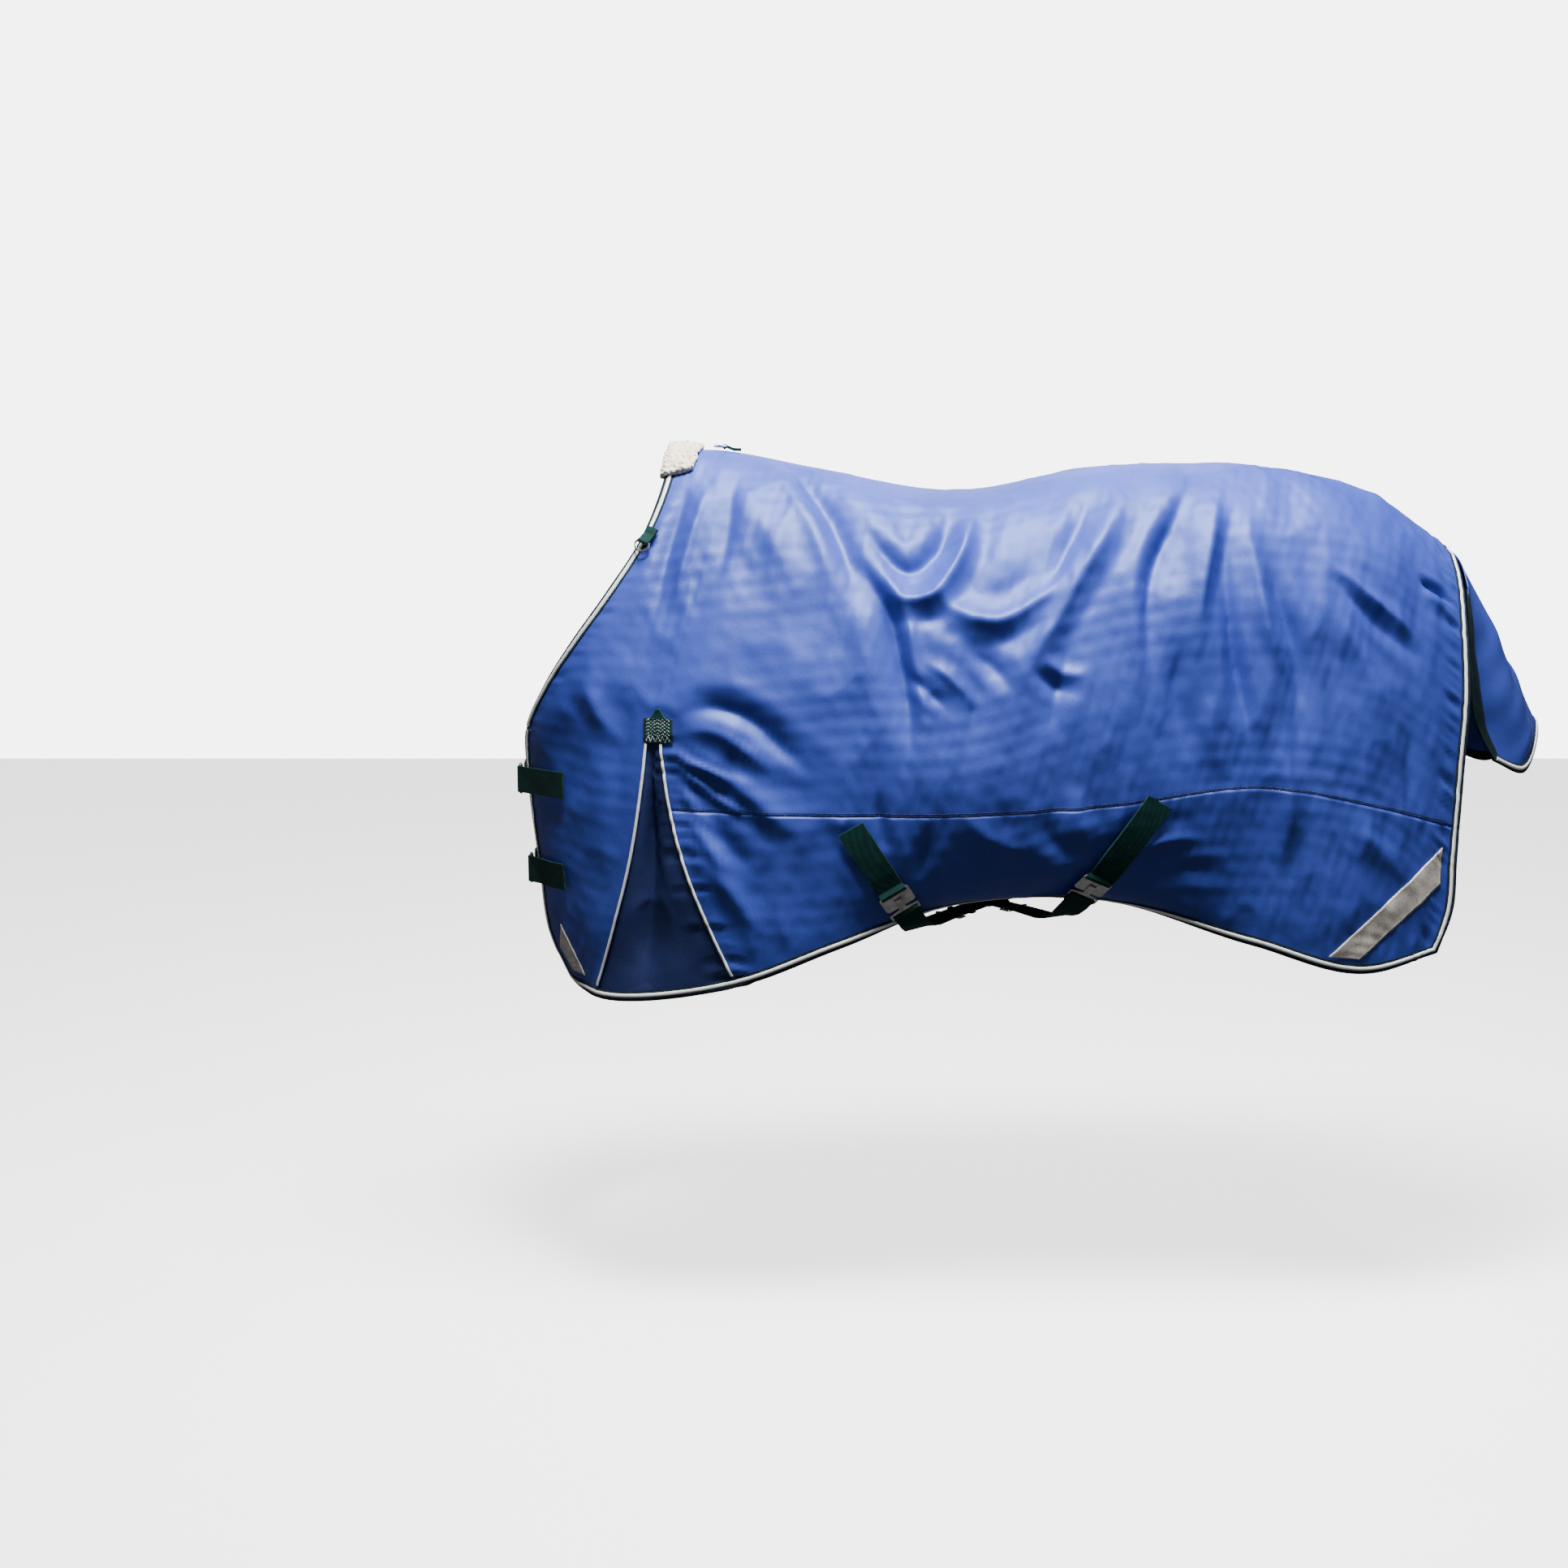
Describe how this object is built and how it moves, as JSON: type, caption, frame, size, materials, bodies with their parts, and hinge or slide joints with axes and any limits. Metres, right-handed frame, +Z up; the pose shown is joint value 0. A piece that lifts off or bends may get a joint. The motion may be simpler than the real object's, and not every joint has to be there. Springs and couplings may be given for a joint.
{
  "type": "turnout rug",
  "caption": "Waterproof horse turnout rug in the shape it takes when worn, with shoulder gussets, fleece wither pad, tail flap, piped edges, chest snap straps and crossed belly surcingles.",
  "frame": {"origin": "on the spine at the top of the withers, where the rug rests on the horse's back", "axes": "+X towards the tail, +Z up, -Y the horse's left side, where the belly surcingles are done up"},
  "size_m": [1.9892, 0.6504, 1.0402],
  "materials": {
    "shell": "blue coated satin-weave nylon, slightly glossy",
    "lining": "dark navy smooth nylon",
    "webbing": "very dark green ribbed webbing and tape",
    "piping": "white coated piping",
    "reflective": "grey retroreflective tape",
    "fleece": "cream fleece pile",
    "nickel": "nickel-plated",
    "rubber": "matt black"
  },
  "bodies": {
    "rug": {"belly_chape_front": "webbing", "belly_chape_rear": "webbing", "belly_clip_hook_front": "nickel", "belly_clip_hook_rear": "nickel", "belly_clip_slot_front": "nickel", "belly_clip_slot_rear": "nickel", "belly_strap_front": "webbing", "belly_strap_rear": "webbing", "body_binding_left": "webbing", "body_binding_right": "webbing", "body_piping_left": "piping", "body_piping_right": "piping", "chest_chape_lower": "webbing", "chest_chape_upper": "webbing", "chest_panel_left": "shell", "chest_panel_right": "shell", "chest_snap_lower": "nickel", "chest_snap_upper": "nickel", "chest_strap_lower": "webbing", "chest_strap_upper": "webbing", "gusset_left": "lining", "gusset_patch_left": "webbing", "gusset_patch_right": "webbing", "gusset_piping_back_left": "piping", "gusset_piping_back_right": "piping", "gusset_piping_front_left": "piping", "gusset_piping_front_right": "piping", "gusset_right": "lining", "lining": "lining", "neck_binding_left": "webbing", "neck_binding_right": "webbing", "neck_chape_left": "webbing", "neck_chape_right": "webbing", "neck_chape_top": "webbing", "neck_piping_left": "piping", "neck_piping_right": "piping", "outer_shell": "shell", "reflective_chest_left": "reflective", "reflective_chest_right": "reflective", "reflective_rear_left": "reflective", "reflective_rear_right": "reflective", "side_panel_left": "shell", "side_panel_right": "shell", "wither_pad": "fleece"},
    "tail_flap": {"tail_flap": "shell", "tail_flap_binding": "webbing", "tail_flap_piping": "piping"},
    "neck_ring_top": {"neck_ring_top": "nickel"},
    "neck_ring_left": {"neck_ring_left": "nickel"},
    "neck_ring_right": {"neck_ring_right": "nickel"},
    "chest_ring_upper": {"chest_ring_upper": "nickel"},
    "chest_gate_upper": {"chest_snap_gate_upper": "nickel"},
    "chest_adjuster_upper": {"chest_adjuster_upper": "nickel"},
    "chest_ring_lower": {"chest_ring_lower": "nickel"},
    "chest_gate_lower": {"chest_snap_gate_lower": "nickel"},
    "chest_adjuster_lower": {"chest_adjuster_lower": "nickel"},
    "belly_adjuster_front": {"belly_adjuster_front": "nickel"},
    "belly_keeper_front": {"belly_keeper_front": "rubber"},
    "belly_adjuster_rear": {"belly_adjuster_rear": "nickel"},
    "belly_keeper_rear": {"belly_keeper_rear": "rubber"}
  },
  "joints": [
    {"name": "tail_flap_lift", "type": "hinge", "parent": "rug", "child": "tail_flap", "pos_m": [1.447, 0, -0.19], "axis": [0, -1, 0], "range_deg": [0, 75]},
    {"name": "neck_ring_top_turn", "type": "hinge", "parent": "rug", "child": "neck_ring_top", "pos_m": [0.0504, 0, 0.009], "axis": [0, 1, 0], "range_deg": [0, 120]},
    {"name": "neck_ring_left_turn", "type": "hinge", "parent": "rug", "child": "neck_ring_left", "pos_m": [-0.0942, -0.156, -0.1702], "axis": [-0.8177, 0.4654, 0.3389], "range_deg": [0, 120]},
    {"name": "neck_ring_right_turn", "type": "hinge", "parent": "rug", "child": "neck_ring_right", "pos_m": [-0.0963, 0.1577, -0.1749], "axis": [0.8134, 0.464, -0.3509], "range_deg": [0, 120]},
    {"name": "chest_ring_upper_turn", "type": "hinge", "parent": "rug", "child": "chest_ring_upper", "pos_m": [-0.3443, -0.0681, -0.6234], "axis": [0, 0, 1], "range_deg": [-2, 2]},
    {"name": "chest_gate_upper_press", "type": "hinge", "parent": "rug", "child": "chest_gate_upper", "pos_m": [-0.3467, -0.0239, -0.6234], "axis": [0, 0, 1], "range_deg": [0, 18], "stiffness_Nm_per_rad": 0.02, "springref_deg": -5.73},
    {"name": "chest_adjuster_upper_slide", "type": "slide", "parent": "rug", "child": "chest_adjuster_upper", "axis": [0.0499, 0.9988, 0], "range_m": [-0.005, 0.004]},
    {"name": "chest_ring_lower_turn", "type": "hinge", "parent": "rug", "child": "chest_ring_lower", "pos_m": [-0.3272, -0.0664, -0.7985], "axis": [0, 0, 1], "range_deg": [-2, 2]},
    {"name": "chest_gate_lower_press", "type": "hinge", "parent": "rug", "child": "chest_gate_lower", "pos_m": [-0.3296, -0.0222, -0.7985], "axis": [0, 0, 1], "range_deg": [0, 18], "stiffness_Nm_per_rad": 0.02, "springref_deg": -5.73},
    {"name": "chest_adjuster_lower_slide", "type": "slide", "parent": "rug", "child": "chest_adjuster_lower", "axis": [0.0499, 0.9988, 0], "range_m": [-0.005, 0.004]},
    {"name": "belly_adjuster_front_slide", "type": "slide", "parent": "rug", "child": "belly_adjuster_front", "axis": [0.5317, 0.8468, -0.0158], "range_m": [-0.008, 0.012]},
    {"name": "belly_keeper_front_slide", "type": "slide", "parent": "rug", "child": "belly_keeper_front", "axis": [0.5317, 0.8468, -0.0158], "range_m": [-0.012, 0.004]},
    {"name": "belly_adjuster_rear_slide", "type": "slide", "parent": "rug", "child": "belly_adjuster_rear", "axis": [-0.5721, 0.82, -0.0153], "range_m": [-0.008, 0.012]},
    {"name": "belly_keeper_rear_slide", "type": "slide", "parent": "rug", "child": "belly_keeper_rear", "axis": [-0.5721, 0.82, -0.0153], "range_m": [-0.012, 0.004]}
  ]
}
